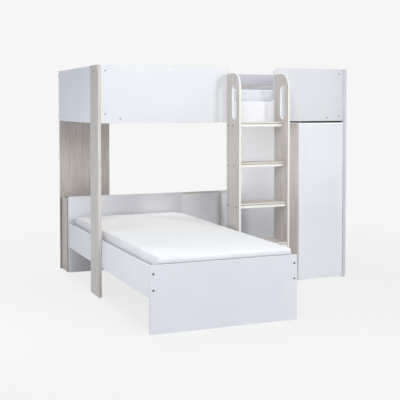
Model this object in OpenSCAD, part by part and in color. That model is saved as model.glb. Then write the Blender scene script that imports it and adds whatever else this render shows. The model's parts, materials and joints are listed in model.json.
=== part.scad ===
// L shaped bunk bed: an upper bunk over a wardrobe and a low bedhead unit, a ladder with open
// treads on the bunk's front, and a lower bed that runs out at right angles to the bunk.
// Millimetres, +Z up. The origin is on the floor, in the middle of the whole outline.

/* [Mattresses] */
// Length of the upper mattress
mattress_l = 1900; // [1850:1:2000]
// How much longer the lower mattress is
lower_extra = 64; // [0:1:100]
// Width of both mattresses
mattress_w = 900; // [800:1:1000]
// Thickness of both mattresses at their edges
mattress_h = 146; // [110:1:150]
// How far a mattress rises from its edge to its middle
crown_h = 12; // [4:1:16]
// Radius of a mattress's corners, seen from above
mattress_r = 22; // [15:1:60]
// Radius of the lower mattress's corners at the headboard, seen from above
soft_r = 85; // [20:1:120]
// How far a mattress's sides swell between their seams
side_swell = 4; // [1:0.5:6]
// Gap between the upper mattress and each end of the bunk
end_gap = 11.5; // [5:0.5:30]
// Gap between the upper mattress and each board beside it
side_gap = 11; // [5:0.5:30]
// Gap between the lower mattress and each rail
rail_gap = 2.5; // [1:0.5:10]
// Gap between the lower mattress and the footboard
foot_gap = 4; // [1:0.5:20]
// Gap between the lower mattress and the headboard
head_gap = 10; // [2:1:90]

/* [Boards] */
// Thickness of the white boards
board_t = 18; // [16:0.5:20]
// Thickness of the wooden posts and of the end and side panels in line with them
post_t = 22; // [18:0.5:24]
// Thickness of the large right side panel
right_t = 25; // [20:0.5:30]
// Gap that keeps loose pieces clear of each other
fit_gap = 2; // [1:0.5:3]

/* [Upper bunk] */
// Width of the wooden posts, front to back
post_w = 205; // [160:1:260]
// How far the tall post at the front left stands above the guard
post_rise = 3; // [0:1:40]
// Height of the wardrobe and of the panels that the guards stand on
deck_z = 1204; // [1195:1:1210]
// Height of the guards and end panels
guard_h = 401; // [396:1:410]
// Height of the sill in the guard's entry, above the guard's lower edge
sill_h = 154; // [150:1:200]
// Radius of the entry's lower corners
entry_r = 25; // [10:1:40]
// Radius of the guard's corners at the top of the entry
entry_flare_r = 28; // [10:1:40]
// Width of the lower wooden panel at the back left
back_left_w = 416; // [340:1:440]
// Depth of the ledge between the upper mattress and the back guard
ledge_d = 207; // [180:1:220]
// Height of the ledge's top above the guard's lower edge
ledge_h = 294; // [280:1:330]
// Thickness of the ledge's two boards
ledge_t = 16; // [12:0.5:20]
// Height of the guards' bed ledgers
ledger_h = 60; // [50:1:62]
// Thickness of the bed ledgers and corner blocks
ledger_t = 25; // [20:0.5:30]
// Height of the ledgers' lower edge above the guard's lower edge
ledger_up = 11; // [8:0.5:12]

/* [Slats] */
// Number of slats under each mattress
slat_count = 14; // [10:1:16]
// Width of a slat
slat_w = 80; // [60:1:90]
// Thickness of a slat
slat_t = 18; // [14:0.5:20]
// Distance from an end of the slatted base to its first slat
slat_in = 22; // [10:1:40]
// Side of the cleats that carry slats and the ledge
cleat_s = 20; // [18:1:25]

/* [Ladder] */
// Gap between the lower bed's right rail and the ladder
ladder_gap = 2; // [1:0.5:80]
// Clear width between the two uprights
ladder_clear = 372; // [340:1:372]
// Thickness of an upright
upright_t = 16; // [14:0.5:18]
// How far the ladder stands out from the bunk
ladder_reach = 215; // [212:1:240]
// How far the uprights end below the guard's top
ladder_down = 47; // [10:1:100]
// Radius of the uprights' front top corner
upright_r = 100; // [60:1:100]
// Length of the hand slot
slot_l = 250; // [160:1:260]
// Width of the hand slot
slot_w = 71; // [40:1:75]
// Height of the hand slot's lower end above the deck
slot_up = 23; // [10:1:60]
// Distance from the bunk to the hand slot's middle
slot_out = 130; // [125:1:140]
// Height of the first tread's top
tread_first = 335; // [316:1:345]
// How far the highest tread's top stands above the deck
tread_over = 4; // [0:1:20]
// Thickness of a tread
tread_t = 33; // [31:0.5:38]
// Height of the band below the groove in a tread's front edge
tread_band = 17; // [14:0.5:20]
// Height of that groove
groove_h = 7; // [4:0.5:9]
// Depth of that groove
groove_d = 6; // [3:0.5:10]
// Depth of the lowest tread
tread_deep = 212; // [190:1:212]
// How much shallower each tread is than the one below it
tread_recede = 33; // [20:1:40]
// Least depth of a tread
tread_shallow = 124; // [110:1:150]

/* [Lower bed] */
// Gap between the tall post and the lower bed's left rail
bed_gap = 2; // [1:0.5:10]
// Height of the rails' lower edge
rail_z = 203; // [150:1:210]
// Height of the rails' upper edge
rail_top = 393; // [380:1:400]
// Height of the footboard
footboard_h = 404; // [400:1:420]
// How far the footboard stands past each rail
foot_past = 12; // [0:1:13]
// Height of the headboard
headboard_h = 605; // [595:1:640]
// How far the headboard stands past the right rail
head_past = 24; // [20:1:60]
// Height of the lower mattress's underside
slat_top = 298; // [280:1:310]

/* [Low unit] */
// Height of the low panels behind and beside the lower bed
low_h = 582; // [560:1:590]
// Depth of the low bedhead unit behind the headboard
low_d = 175; // [170:1:220]
// Height of the wooden cap on the low panels
cap_t = 17; // [14:0.5:20]
// Height of the shelf in the bedhead unit
low_shelf_z = 285; // [220:1:340]
// Distance from the wardrobe to the low return panel
return_off = 117; // [60:1:117]
// Length of the low return panel
return_l = 207; // [150:1:220]

/* [Wardrobe] */
// Width of the wardrobe, measured to the right side panel
wardrobe_w = 388; // [380:1:420]
// Height of the plinth
plinth_h = 60; // [40:1:80]
// Distance of the plinth behind the wardrobe's front
plinth_in = 20; // [10:1:40]
// Height of the shelf's underside
shelf_z = 330; // [250:1:420]
// Distance of the shelf behind the wardrobe's front
shelf_in = 40; // [20:1:100]
// Distance of the shelf's pins from the wardrobe's front and back
shelf_pin_in = 80; // [60:1:200]
// Distance of the hanging rail below the wardrobe's top
hanger_down = 134; // [90:1:200]
// Distance of the hanging rail behind the wardrobe's front
hanger_y = 290; // [200:1:400]
// Diameter of the hanging rail
hanger_d = 25; // [20:1:28]
// Thickness of the door
door_t = 16; // [15:0.5:17]
// Gap between the closed door and the wardrobe behind it
door_gap = 2; // [1.5:0.5:3]
// Gap between the door and the floor
door_up = 8; // [6:1:12]
// Gap between the door and the guard above it, for the fingers
door_down = 8; // [6:1:12]
// Gap between the door and the right side panel
door_side = 4; // [3.5:0.5:5]

/* [Fasteners] */
// Diameter of a bolt
bolt_d = 6; // [5:0.5:7]
// Diameter of a bolt's head
head_d = 13; // [11:0.5:15]
// Height of a bolt's head
head_t = 2; // [1.5:0.25:2.5]
// Length of a bolt's shank through a board into another board's end
bolt_l = 58; // [50:1:70]
// Length of a bolt's shank through a board into a ledger or block
short_l = 36; // [32:1:38]
// Gap around a bolt in its hole
bolt_gap = 0.2; // [0.1:0.05:0.4]
// Diameter of the pins that the door turns on
pivot_d = 6; // [4:0.5:7]
// Radial running gap between a pivot pin and its bush
pivot_gap = 0.05; // [0.02:0.01:0.09]

/* [Bolt places] */
// Distance of the upper guard bolts below the guard's top
bolt_down = 38; // [30:1:60]
// Distance of the guard's corner bolts from its ends
bolt_in = 30; // [20:1:40]
// Distance of the guard's left corner bolt below the slats
left_bolt_down = 8; // [7:1:40]
// Distance of the guard's right corner bolt below the slats
right_bolt_down = 30; // [7:1:45]
// Distance of the guard's ledger bolts from its ends
ledger_bolt_in = 138; // [60:1:300]
// Distance of the guard's ledger bolts above the ledger's lower edge
ledger_bolt_up = 20; // [12:1:40]
// Height of the lower bolts in the end and side panels above the deck
end_bolt_up = 46; // [30:1:90]
// Distance of the wardrobe boards' bolts from their front and back
board_bolt_in = 150; // [60:1:300]
// Height of the rails' lower bolts above their lower edge
rail_bolt_up = 55; // [40:1:80]
// Distance of the rails' upper bolts below their upper edge
rail_bolt_down = 39; // [25:1:60]
// Distance of the ladder's guard bolts from the deck and from the sill
ladder_bolt_in = 33; // [20:1:50]
// Distance of a tread's rear bolt from the bunk
tread_bolt_back = 30; // [20:1:40]
// Distance of a tread's front bolt from its front edge
tread_bolt_front = 18; // [12:1:30]

/* [Hidden] */
$fn = 64;
WHITE = "#eef0f4";
WOOD = "#b5aca3";
PINE = "#d9c9a8";
TICKING = "#f4f3f0";
STEEL = "#8f9296";

// turns that point a bolt's shank along an axis
TO_RIGHT = [0, 90, 0];
TO_LEFT = [0, -90, 0];
TO_BACK = [-90, 0, 0];
TO_FRONT = [90, 0, 0];

// upper bunk
post_h = deck_z + guard_h + post_rise;
bunk_l = post_t + mattress_l + 2 * end_gap + right_t;
bunk_d = 2 * board_t + mattress_w + 2 * side_gap + ledge_d;
guard_top = deck_z + guard_h;
sill_z = deck_z + sill_h;
right_in = bunk_l - right_t;
back_in = bunk_d - board_t;
ledger_z = deck_z + ledger_up;
slat_base = ledger_z + ledger_h;
upper_top = slat_base + slat_t;
ledge_y = back_in - ledge_d;
ledge_z = deck_z + ledge_h;
block_w = 50;
block_h = 108;
batten_h = 45;
batten_t = 22;

// lower bed
rail_x = post_t + bed_gap;
rail_clear = mattress_w + 2 * rail_gap;
right_rail_x = rail_x + board_t + rail_clear;
bed_right = right_rail_x + board_t;
head_y = back_in - low_d - board_t;
lower_l = mattress_l + lower_extra;
foot_y = head_y - head_gap - lower_l - foot_gap;
bed_reach = board_t - foot_y;
footboard_x = rail_x - foot_past;
footboard_w = bed_right + foot_past - footboard_x;
headboard_w = bed_right + head_past - rail_x;

// ladder
ladder_h = guard_top - ladder_down;
ladder_x = bed_right + ladder_gap;
entry_x = ladder_x + upright_t;
ladder_right = entry_x + ladder_clear;
tread_count = 4;
slot_z = deck_z + slot_up;
tread_step = (deck_z + tread_over - tread_first) / (tread_count - 1);
function tread_top(i) = tread_first + i * tread_step;
tread_out = [for (i = [0:tread_count - 1]) max(tread_deep - i * tread_recede, tread_shallow)];

// low unit
low_left_x = rail_x - 8;
low_right_x = rail_x + headboard_w - board_t;
back_split = 3 + back_left_w;
low_panel_h = low_h - cap_t;

// wardrobe
wardrobe_x = right_in - wardrobe_w;
wardrobe_in = wardrobe_x + post_t;
inner_w = right_in - wardrobe_in;
hanger_z = deck_z - hanger_down;
door_back = -door_gap;
door_front = door_back - door_t;
door_w = wardrobe_w - door_side;
door_top = deck_z - door_down;
pivot_in = 9;
pivot_x = right_in - door_side - pivot_in;
pivot_y = (door_front + door_back) / 2;
bush_d = 10;
bush_l = 22;
board_front = 20;
catch_z = 600;
catch_w = 14;
catch_d = 40;
catch_h = 44;
shelf_pin_y = [shelf_pin_in, back_in - shelf_pin_in];
return_x = wardrobe_x - return_off - board_t;

// bolts: where each shank enters, on the face that carries the head
left_bolt_x = post_t + bolt_in;
right_bolt_x = right_in - bolt_in;
guard_bolts_at = [
    for (x = [left_bolt_x, right_bolt_x]) [x, 0, guard_top - bolt_down],
    [left_bolt_x, 0, slat_base - left_bolt_down],
    [right_bolt_x, 0, slat_base - right_bolt_down],
    for (x = [post_t + ledger_bolt_in, right_in - ledger_bolt_in]) [x, 0, ledger_z + ledger_bolt_up]
];
end_bolt_y = bunk_d - board_t / 2;
end_bolt_z = [guard_top - bolt_down, deck_z + end_bolt_up];
board_bolt_y = [board_bolt_in, back_in - board_bolt_in];
board_bolt_z = [deck_z - board_t / 2, plinth_h + board_t / 2];
end_bolts_at = [for (z = end_bolt_z) [0, end_bolt_y, z]];
post_bolts_at = [[0, post_w / 2, guard_top - bolt_down]];
right_bolts_at = [
    for (z = end_bolt_z) [bunk_l, end_bolt_y, z],
    for (y = board_bolt_y, z = board_bolt_z) [bunk_l, y, z]
];
batten_bolt_at = [[bunk_l, post_w / 2, guard_top - bolt_down]];
rail_bolt_z = [rail_z + rail_bolt_up, rail_top - rail_bolt_down];
rail_mid_x = [rail_x + board_t / 2, right_rail_x + board_t / 2];
foot_bolts_at = [for (x = rail_mid_x, z = rail_bolt_z) [x, -bed_reach, z]];
head_bolts_at = [for (x = rail_mid_x, z = rail_bolt_z) [x, head_y + board_t - head_t, z]];
upright_bolts_at = [for (x = [ladder_x + upright_t / 2, ladder_right + upright_t / 2])
    for (z = [deck_z + ladder_bolt_in, sill_z - ladder_bolt_in]) [x, board_t, z]];
function tread_bolts(i, x) =
    [for (y = [-tread_bolt_back, tread_bolt_front - tread_out[i]])
        [x, y, tread_top(i) - tread_t + tread_band / 2]];

// ---- shared shapes ----

// moves a shape from the bunk's front left corner to the part's own frame
module place() {
    translate([-bunk_l / 2, (bed_reach + head_t - bunk_d) / 2, 0]) children();
}

// a board from its lowest corner to its highest
module board(low, high) {
    translate(low) cube(high - low);
}

// a bolt with a flat round head; the shank runs up from the head's underside
module bolt(length) {
    difference() {
        union() {
            translate([0, 0, -head_t]) cylinder(d = head_d, h = head_t);
            translate([0, 0, -head_t / 2]) cylinder(d = bolt_d, h = length + head_t / 2);
        }
        translate([0, 0, -head_t - 1]) cylinder(d = head_d * 0.4, h = head_t / 2 + 1, $fn = 6);
    }
}

module bolts(places, turn, length) {
    for (p = places) translate(p) rotate(turn) bolt(length);
}

// the holes that those bolts pass through or end in
module bolt_holes(places, turn, length) {
    for (p = places)
        translate(p) rotate(turn) translate([0, 0, -1])
            cylinder(d = bolt_d + 2 * bolt_gap, h = length + 3);
}

// a mattress: rounded outline with its head at +X, sides swelling between two seams, crowned top
function corner_arc(cx, cy, r, a0, steps) =
    [for (k = [0:steps]) [cx + r * cos(a0 + 90 * k / steps), cy + r * sin(a0 + 90 * k / steps)]];

function rounded_outline(hx, hy, r, head_r, steps) = concat(
    corner_arc(hx - head_r, hy - head_r, head_r, 0, steps), corner_arc(r - hx, hy - r, r, 90, steps),
    corner_arc(r - hx, r - hy, r, 180, steps), corner_arc(hx - head_r, head_r - hy, head_r, 270, steps));

// each level of the mattress is [inset from the full outline, height]
function mattress_levels(swell, side_h, crown, half_w) = concat(
    [for (s = [0.7, 0.35, 0.1]) [half_w * s, 0]],
    [for (a = [0:30:90]) [swell + 10 * (1 - sin(a)), 10 * (1 - cos(a))]],
    [for (u = [0.2:0.2:0.8]) [swell * (1 - sin(180 * u)), 10 + (side_h - 20) * u]],
    [for (a = [90:-30:0]) [swell + 10 * (1 - sin(a)), side_h - 10 * (1 - cos(a))]],
    [for (s = [0.06, 0.14, 0.26, 0.42, 0.6, 0.8])
        [half_w * s + swell + 10, side_h + crown * (1 - pow(1 - s, 2.6))]]);

module mattress(l, w, head_r) {
    levels = mattress_levels(side_swell, mattress_h, crown_h, w / 2 - 20);
    steps = 7;
    ring = 4 * (steps + 1);
    least_r = 6;
    points = [for (v = levels) for (p = rounded_outline(l / 2 - v[0], w / 2 - v[0],
        max(mattress_r - v[0], least_r), max(head_r - v[0], least_r), steps)) [p[0], p[1], v[1]]];
    last = len(levels) - 1;
    walls = [for (i = [0:last - 1], k = [0:ring - 1])
        let (n = (k + 1) % ring, a = i * ring, b = a + ring)
            each [[a + k, b + k, b + n], [a + k, b + n, a + n]]];
    ends = [[for (k = [0:ring - 1]) k], [for (k = [ring - 1:-1:0]) last * ring + k]];
    polyhedron(points = points, faces = concat(walls, ends), convexity = 4);
}

// ---- upper bunk ----

module front_left_post() {
    color(WOOD) place() difference() {
        board([0, 0, 0], [post_t, post_w, post_h]);
        bolt_holes(post_bolts_at, TO_RIGHT, short_l);
    }
}

module left_end_panel() {
    color(WHITE) place() difference() {
        board([0, post_w, deck_z], [post_t, bunk_d, guard_top - 1]);
        bolt_holes(end_bolts_at, TO_RIGHT, bolt_l);
    }
}

// the entry's outline, in the guard's own plane
module entry_outline() {
    translate([entry_x, sill_z + entry_r]) square([ladder_clear, guard_h]);
    translate([entry_x + entry_r, sill_z]) square([ladder_clear - 2 * entry_r, guard_h]);
    for (x = [entry_x + entry_r, ladder_right - entry_r])
        translate([x, sill_z + entry_r]) circle(r = entry_r);
    for (side = [[entry_x, 1], [ladder_right, -1]])
        translate([side[0], guard_top]) mirror([side[1] > 0 ? 1 : 0, 0])
            difference() {
                translate([-1, -entry_flare_r]) square(entry_flare_r + 1);
                translate([entry_flare_r, -entry_flare_r]) circle(r = entry_flare_r);
            }
}

module front_guard() {
    color(WHITE) place() difference() {
        translate([0, board_t, 0]) rotate([90, 0, 0]) linear_extrude(board_t) difference() {
            translate([post_t, deck_z]) square([right_in - post_t, guard_h]);
            entry_outline();
        }
        bolt_holes(guard_bolts_at, TO_BACK, short_l);
        bolt_holes(upright_bolts_at, TO_FRONT, bolt_l);
    }
}

module back_guard() {
    color(WHITE) place() difference() {
        board([post_t, back_in, deck_z], [right_in, bunk_d, guard_top - 5]);
        bolt_holes(end_bolts_at, TO_RIGHT, bolt_l);
        bolt_holes(right_bolts_at, TO_LEFT, bolt_l);
    }
}

module right_side_panel() {
    panel_r = 25;
    color(WHITE) place() difference() {
        translate([right_in, 0, 0]) rotate([90, 0, 90]) linear_extrude(right_t) {
            translate([door_front, 0]) square([bunk_d - door_front, guard_top - panel_r]);
            translate([door_front + panel_r, 0]) square([bunk_d - door_front - panel_r, guard_top]);
            translate([door_front + panel_r, guard_top - panel_r]) circle(r = panel_r);
        }
        bolt_holes(right_bolts_at, TO_LEFT, bolt_l);
        bolt_holes(batten_bolt_at, TO_LEFT, short_l);
    }
}

module back_left_panel() {
    color(WOOD) place() board([3, back_in, 0], [back_split, bunk_d, deck_z]);
}

module front_ledger() {
    color(PINE) place() difference() {
        board([post_t, board_t, ledger_z], [right_in, board_t + ledger_t, slat_base]);
        bolt_holes(guard_bolts_at, TO_BACK, short_l);
        upright_head_clearance();
    }
}

// room in the ledger for the heads of the bolts that hold the ladder
module upright_head_clearance() {
    for (p = upright_bolts_at)
        translate(p) rotate(TO_BACK) translate([0, 0, -1]) cylinder(d = head_d + 3, h = head_t + 3);
}

module rear_ledger() {
    color(PINE) place()
        board([post_t, ledge_y - ledger_t, ledger_z], [right_in, ledge_y, slat_base]);
}

module ledge_front() {
    color(WHITE) place()
        board([post_t, ledge_y, ledger_z], [right_in, ledge_y + ledge_t, ledge_z - ledge_t]);
}

module ledge_shelf() {
    color(WOOD) place() board([post_t, ledge_y, ledge_z - ledge_t], [right_in, back_in, ledge_z]);
}

module ledge_cleat() {
    color(PINE) place() board([post_t + ledger_t + fit_gap, back_in - cleat_s, ledge_z - ledge_t - cleat_s],
        [right_in - ledger_t - fit_gap, back_in, ledge_z - ledge_t]);
}

// upright cleats that hold the ledge's front board to the end panels
module ledge_end_cleats() {
    for (x = [post_t, right_in - ledger_t])
        color(PINE) place() board([x, ledge_y + ledge_t, ledger_z],
            [x + ledger_t, ledge_y + ledge_t + cleat_s, ledge_z - ledge_t]);
}

// blocks behind the guard's top corners, above the mattress
module corner_blocks() {
    for (x = [post_t, right_in - block_w])
        color(PINE) place() difference() {
            board([x, board_t, guard_top - block_h - 7],
                [x + block_w, board_t + ledger_t, guard_top - 7]);
            bolt_holes(guard_bolts_at, TO_BACK, short_l);
        }
}

// battens inside the two ends, above the mattress
module end_battens() {
    mid_z = guard_top - 38;
    for (x = [post_t, right_in - batten_t])
        color(PINE) place() difference() {
            board([x, board_t + ledger_t + fit_gap, mid_z - batten_h / 2],
                [x + batten_t, ledge_y, mid_z + batten_h / 2]);
            bolt_holes(post_bolts_at, TO_RIGHT, short_l);
            bolt_holes(batten_bolt_at, TO_LEFT, short_l);
        }
}

module upper_slats() {
    first = post_t + slat_in;
    pitch = (right_in - slat_in - slat_w - first) / (slat_count - 1);
    color(PINE) place() for (i = [0:slat_count - 1])
        board([first + i * pitch, board_t + fit_gap, slat_base],
            [first + i * pitch + slat_w, ledge_y - fit_gap, upper_top]);
}

module upper_mattress() {
    color(TICKING) place()
        translate([post_t + end_gap + mattress_l / 2, board_t + side_gap + mattress_w / 2,
            upper_top + 0.3])
            mattress(mattress_l, mattress_w, mattress_r);
}

module guard_bolts() {
    color(STEEL) place() bolts(guard_bolts_at, TO_BACK, short_l);
}

module end_panel_bolts() {
    color(STEEL) place() {
        bolts(end_bolts_at, TO_RIGHT, bolt_l);
        bolts(post_bolts_at, TO_RIGHT, short_l);
    }
}

module right_panel_bolts() {
    color(STEEL) place() {
        bolts(right_bolts_at, TO_LEFT, bolt_l);
        bolts(batten_bolt_at, TO_LEFT, short_l);
    }
}

// ---- ladder ----

// an upright's outline seen from its side: distance out from the bunk, then height
module upright_outline() {
    slot_end = slot_w / 2;
    difference() {
        union() {
            square([ladder_reach - upright_r, ladder_h]);
            square([ladder_reach, ladder_h - upright_r]);
            translate([ladder_reach - upright_r, ladder_h - upright_r]) circle(r = upright_r);
        }
        translate([slot_out - slot_end, slot_z + slot_end]) square([slot_w, slot_l - slot_w]);
        for (z = [slot_z + slot_end, slot_z + slot_l - slot_end])
            translate([slot_out, z]) circle(r = slot_end);
    }
}

module upright(x) {
    translate([x + upright_t, 0, 0]) rotate([90, 0, -90]) linear_extrude(upright_t)
        upright_outline();
}

module ladder_left_upright() {
    color(WOOD) place() difference() {
        upright(ladder_x);
        for (i = [0:tread_count - 1]) bolt_holes(tread_bolts(i, ladder_x), TO_RIGHT, bolt_l);
        bolt_holes(upright_bolts_at, TO_FRONT, bolt_l);
    }
}

module ladder_right_upright() {
    outer = ladder_right + upright_t;
    color(WOOD) place() difference() {
        upright(ladder_right);
        for (i = [0:tread_count - 1]) bolt_holes(tread_bolts(i, outer), TO_LEFT, bolt_l);
        bolt_holes(upright_bolts_at, TO_FRONT, bolt_l);
    }
}

// tread i, with a groove along its front edge
module tread(i) {
    low = tread_top(i) - tread_t;
    color(WOOD) place() difference() {
        board([entry_x, -tread_out[i], low], [ladder_right, 0, tread_top(i)]);
        board([entry_x - 1, -tread_out[i] - 1, low + tread_band],
            [ladder_right + 1, groove_d - tread_out[i], low + tread_band + groove_h]);
        bolt_holes(tread_bolts(i, ladder_x), TO_RIGHT, bolt_l);
        bolt_holes(tread_bolts(i, ladder_right + upright_t), TO_LEFT, bolt_l);
    }
}

module tread_1() { tread(0); }
module tread_2() { tread(1); }
module tread_3() { tread(2); }
module tread_4() { tread(3); }

module ladder_bolts() {
    color(STEEL) place() {
        for (i = [0:tread_count - 1]) {
            bolts(tread_bolts(i, ladder_x), TO_RIGHT, bolt_l);
            bolts(tread_bolts(i, ladder_right + upright_t), TO_LEFT, bolt_l);
        }
        bolts(upright_bolts_at, TO_FRONT, bolt_l);
    }
}

// ---- lower bed ----

module rail(x) {
    color(WHITE) place() difference() {
        board([x, foot_y, rail_z], [x + board_t, head_y, rail_top]);
        bolt_holes(foot_bolts_at, TO_BACK, bolt_l);
        bolt_holes(head_bolts_at, TO_FRONT, bolt_l);
    }
}

module left_rail() { rail(rail_x); }
module right_rail() { rail(right_rail_x); }

module footboard() {
    color(WHITE) place() difference() {
        board([footboard_x, -bed_reach, 0], [footboard_x + footboard_w, foot_y, footboard_h]);
        bolt_holes(foot_bolts_at, TO_BACK, bolt_l);
    }
}

// the headboard's bolt heads are sunk in its back
module headboard() {
    color(WHITE) place() difference() {
        board([rail_x, head_y, 0], [rail_x + headboard_w, head_y + board_t, headboard_h]);
        bolt_holes(head_bolts_at, TO_FRONT, bolt_l);
        for (p = head_bolts_at) translate(p) rotate(TO_BACK) cylinder(d = head_d + 1, h = head_t + 1);
    }
}

module rail_cleats() {
    for (x = [rail_x + board_t, right_rail_x - cleat_s])
        color(PINE) place() board([x, foot_y + fit_gap, slat_top - slat_t - cleat_s],
            [x + cleat_s, head_y - fit_gap, slat_top - slat_t]);
}

module lower_slats() {
    first = foot_y + slat_in;
    pitch = (head_y - slat_in - slat_w - first) / (slat_count - 1);
    left = rail_x + board_t + 1;
    color(PINE) place() for (i = [0:slat_count - 1])
        board([left, first + i * pitch, slat_top - slat_t],
            [left + rail_clear - 2, first + i * pitch + slat_w, slat_top]);
}

module lower_mattress() {
    color(TICKING) place()
        translate([rail_x + board_t + rail_clear / 2, foot_y + foot_gap + lower_l / 2, slat_top + 0.3])
            rotate([0, 0, 90]) mattress(lower_l, mattress_w, soft_r);
}

module footboard_bolts() {
    color(STEEL) place() bolts(foot_bolts_at, TO_BACK, bolt_l);
}

module headboard_bolts() {
    color(STEEL) place() bolts(head_bolts_at, TO_FRONT, bolt_l);
}

// ---- low unit behind and beside the lower bed ----

module low_left_board() {
    color(WOOD) place()
        board([low_left_x, head_y + board_t, 0], [low_left_x + board_t, back_in, low_h + 3]);
}

module low_right_board() {
    color(WOOD) place()
        board([low_right_x, head_y + board_t, 0], [low_right_x + board_t, back_in, low_h + 3]);
}

module low_shelf() {
    color(WOOD) place() board([low_left_x + board_t, head_y + board_t, low_shelf_z],
        [low_right_x, back_in, low_shelf_z + board_t]);
}

module low_back_panel() {
    color(WHITE) place() board([back_split, back_in, 0], [wardrobe_x, bunk_d, low_panel_h]);
}

module low_back_cap() {
    color(WOOD) place() board([back_split, back_in, low_panel_h], [wardrobe_x, bunk_d, low_h]);
}

module return_panel() {
    color(WHITE) place()
        board([return_x, back_in - return_l, 0], [return_x + board_t, back_in, low_panel_h]);
}

module return_cap() {
    color(WOOD) place() board([return_x, back_in - return_l, low_panel_h],
        [return_x + board_t, back_in, low_h]);
}

module corner_batten() {
    batten_s = 19;
    color(WOOD) place()
        board([return_x - batten_s, back_in - batten_s, 0], [return_x, back_in, low_panel_h]);
}

// ---- wardrobe ----

module wardrobe_post() {
    color(WOOD) place() board([wardrobe_x, 0, 0], [wardrobe_in, post_w, deck_z]);
}

module wardrobe_side_panel() {
    color(WHITE) place() board([wardrobe_x, post_w, 0], [wardrobe_in, back_in, deck_z]);
}

module wardrobe_back() {
    color(WHITE) place() board([wardrobe_x, back_in, 0], [right_in, bunk_d, deck_z]);
}

// a level board across the inside of the wardrobe
module wardrobe_board(z, front) {
    color(WHITE) place() difference() {
        board([wardrobe_in, front, z], [right_in, back_in, z + board_t]);
        bolt_holes(right_bolts_at, TO_LEFT, bolt_l);
    }
}

module wardrobe_top() { wardrobe_board(deck_z - board_t, board_front); }
module wardrobe_bottom() { wardrobe_board(plinth_h, board_front); }

module wardrobe_plinth() {
    color(WHITE) place()
        board([wardrobe_in, plinth_in, 0], [right_in, plinth_in + board_t, plinth_h]);
}

module wardrobe_shelf() {
    color(WHITE) place() board([wardrobe_in + 1, shelf_in, shelf_z],
        [right_in - 1, back_in - 1, shelf_z + board_t]);
}

// pins under the shelf's four corners, with a flat spoon that the shelf lies on
module shelf_pins() {
    color(STEEL) place() for (y = shelf_pin_y, side = [[wardrobe_in, 1], [right_in, -1]])
        translate([side[0], y, shelf_z - 3]) rotate(side[1] > 0 ? TO_RIGHT : TO_LEFT)
            cylinder(d = 6, h = 12);
}

module hanging_rail() {
    color(STEEL) place() translate([wardrobe_in + 4, hanger_y, hanger_z]) rotate(TO_RIGHT)
        difference() {
            cylinder(d = hanger_d, h = inner_w - 8);
            translate([0, 0, -1]) cylinder(d = hanger_d - 3, h = inner_w - 6);
        }
}

// round sockets that hold the rail's two ends
module rail_sockets() {
    for (side = [[wardrobe_in, TO_RIGHT], [right_in, TO_LEFT]])
        color(STEEL) place() translate([side[0], hanger_y, hanger_z]) rotate(side[1])
            difference() {
                cylinder(d = hanger_d + 9, h = 13);
                translate([0, 0, 3]) cylinder(d = hanger_d + 0.4, h = 11);
            }
}

// places a shape on the door's turning axis at its lower and its upper edge, pointing into the door
module at_door_pivots() {
    translate([pivot_x, pivot_y, door_up]) children();
    translate([pivot_x, pivot_y, door_top]) mirror([0, 0, 1]) children();
}

module wardrobe_door() {
    color(WHITE) place() difference() {
        board([wardrobe_x, door_front, door_up], [wardrobe_x + door_w, door_back, door_top]);
        at_door_pivots() translate([0, 0, -1]) cylinder(d = bush_d, h = bush_l + 1);
    }
}

// bushes let into the door's lower and upper edges, which turn on the brackets' pins
module door_pivot_bushes() {
    color(TICKING) place() at_door_pivots() difference() {
        cylinder(d = bush_d, h = bush_l);
        translate([0, 0, -1]) cylinder(d = pivot_d + 2 * pivot_gap, h = bush_l - 1);
    }
}

// angle brackets on the side panel's inner face, each with a pin that enters the door's edge
module door_pivot_brackets() {
    plate_t = 3;
    plate_gap = 1.5;
    leg_t = 1.5;
    leg_h = 40;
    leg_y = board_front - fit_gap - pivot_y;
    reach_x = right_in - pivot_x + bush_d / 2;
    color(STEEL) place() at_door_pivots() {
        cylinder(d = pivot_d, h = bush_l - 4);
        translate([0, 0, -plate_gap - 0.5]) cylinder(d = pivot_d, h = plate_gap + 1);
        translate([-bush_d / 2, -5, -plate_gap - plate_t])
            cube([reach_x, leg_y + 5, plate_t]);
        translate([right_in - pivot_x - leg_t, leg_y - 16, -plate_gap - plate_t])
            cube([leg_t, 16, leg_h]);
    }
}

// a magnet case on the wardrobe post's inner face
module magnetic_catch() {
    color(STEEL) place() board([wardrobe_in, 0, catch_z - catch_h / 2],
        [wardrobe_in + catch_w, catch_d, catch_z + catch_h / 2]);
}

// the plate on the door that the magnet holds
module strike_plate() {
    plate_h = 36;
    plate_t = 1.5;
    color(STEEL) place() board([wardrobe_in + 1, door_back, catch_z - plate_h / 2],
        [wardrobe_in + catch_w - 1, door_back + plate_t, catch_z + plate_h / 2]);
}

front_left_post();
left_end_panel();
front_guard();
back_guard();
right_side_panel();
back_left_panel();
front_ledger();
rear_ledger();
ledge_front();
ledge_shelf();
ledge_cleat();
ledge_end_cleats();
corner_blocks();
end_battens();
upper_slats();
upper_mattress();
guard_bolts();
end_panel_bolts();
right_panel_bolts();
ladder_left_upright();
ladder_right_upright();
tread_1();
tread_2();
tread_3();
tread_4();
ladder_bolts();
left_rail();
right_rail();
footboard();
headboard();
rail_cleats();
lower_slats();
lower_mattress();
footboard_bolts();
headboard_bolts();
low_left_board();
low_right_board();
low_shelf();
low_back_panel();
low_back_cap();
return_panel();
return_cap();
corner_batten();
wardrobe_post();
wardrobe_side_panel();
wardrobe_back();
wardrobe_top();
wardrobe_bottom();
wardrobe_plinth();
wardrobe_shelf();
shelf_pins();
hanging_rail();
rail_sockets();
wardrobe_door();
door_pivot_bushes();
door_pivot_brackets();
magnetic_catch();
strike_plate();
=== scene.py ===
"""An L shaped bunk bed: white laminate boards, grey oak posts and ladder, white mattresses."""
import json
import math

import bmesh
import bpy
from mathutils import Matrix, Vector, noise


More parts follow.
